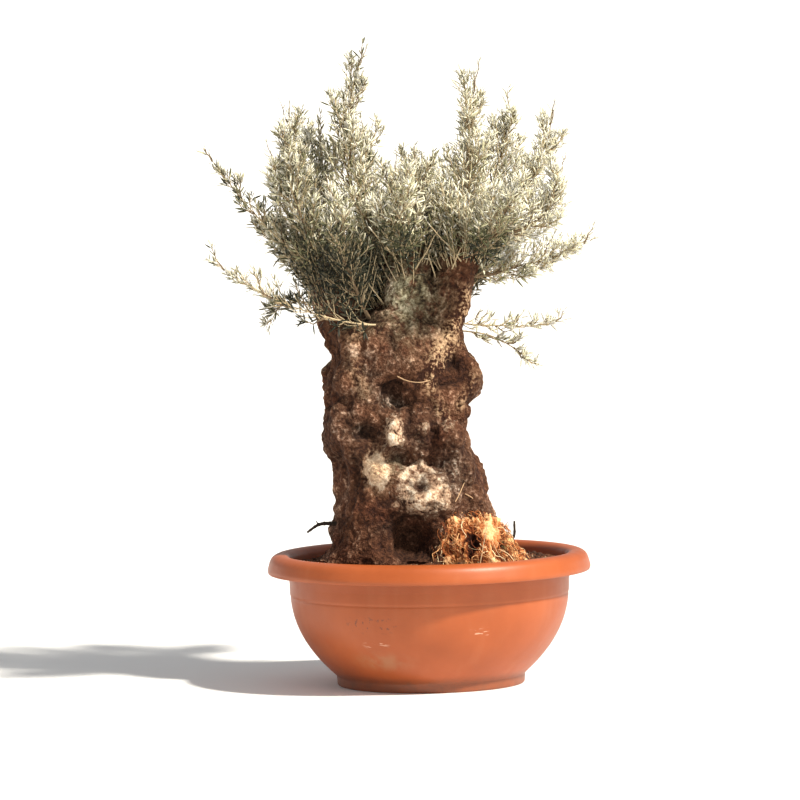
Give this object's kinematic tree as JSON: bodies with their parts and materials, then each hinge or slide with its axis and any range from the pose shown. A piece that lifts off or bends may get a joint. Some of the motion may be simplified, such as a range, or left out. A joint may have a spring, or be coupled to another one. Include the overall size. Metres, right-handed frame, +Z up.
{
  "type": "olive bonsai in a bowl",
  "caption": "Old olive bonsai with a thick gnarled trunk and a loose silver-green crown, growing in a round terracotta-coloured bowl.",
  "frame": {"origin": "middle of the bowl's flat underside, on the surface it stands on", "axes": "+Z up along the bowl's axis, -Y towards the viewer of the trunk's front, +X to that viewer's right"},
  "size_m": [0.7822, 0.6052, 1.1988],
  "materials": {
    "terracotta": "satin terracotta-coloured plastic, dusty and lightly scuffed",
    "soil": "matte, dark crumbly potting soil with reddish grit",
    "bark": "matte, deeply furrowed brown bark with pale worn knobs and grey-green lichen",
    "root_fibre": "matte, orange-brown fibrous old root",
    "olive_leaf": "matte grey-green above and silvery cream below, on pale twigs"
  },
  "bodies": {
    "root": {"bowl": "terracotta", "soil": "soil", "trunk": "bark", "root_clump": "root_fibre", "bough_left": "bark", "bough_centre": "bark", "bough_right": "bark", "bough_back_left": "bark", "bough_back_right": "bark", "dead_twig_left": "bark", "dead_twig_right": "bark", "left_whip": "olive_leaf", "left_outer": "olive_leaf", "left_front": "olive_leaf", "left_inner": "olive_leaf", "left_droop": "olive_leaf", "left_spray": "olive_leaf", "front_left": "olive_leaf", "front_centre": "olive_leaf", "centre_tall": "olive_leaf", "centre_front": "olive_leaf", "centre_back": "olive_leaf", "right_tall": "olive_leaf", "right_back": "olive_leaf", "right_outer": "olive_leaf", "right_side": "olive_leaf", "right_low": "olive_leaf", "right_front": "olive_leaf", "right_sprig": "olive_leaf", "right_sprig_low": "olive_leaf", "back_left": "olive_leaf", "back_centre": "olive_leaf", "back_right": "olive_leaf", "back_outer": "olive_leaf", "back_low_left": "olive_leaf", "back_low": "olive_leaf", "back_low_right": "olive_leaf"}
  },
  "joints": []
}
